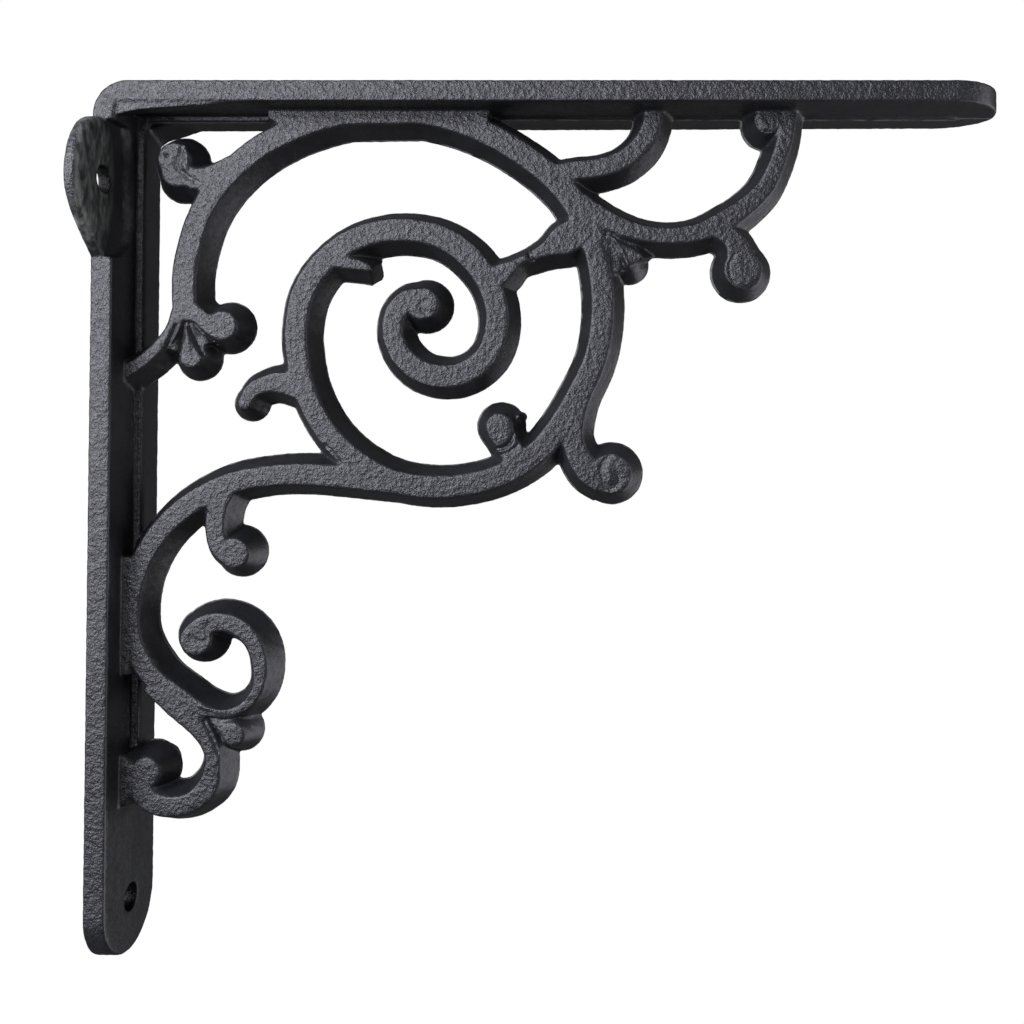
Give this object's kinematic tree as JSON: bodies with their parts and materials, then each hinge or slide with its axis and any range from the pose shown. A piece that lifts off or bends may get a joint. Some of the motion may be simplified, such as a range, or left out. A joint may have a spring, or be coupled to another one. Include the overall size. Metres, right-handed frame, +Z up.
{
  "type": "shelf bracket",
  "caption": "Right-angle cast-iron shelf bracket: flat wall and shelf leaves with open scrollwork between them and a side ear for a screw.",
  "frame": {"origin": "on the wall leaf's back face, in the middle of its width and level with the upper screw hole", "axes": "+X away from the wall along the shelf leaf, +Y across the width to the side with no ear, +Z up"},
  "size_m": [0.214, 0.0372, 0.206],
  "materials": {
    "iron": "black, sand-cast, slightly shiny on worn edges"
  },
  "bodies": {
    "root": {"bracket_casting": "iron"}
  },
  "joints": []
}
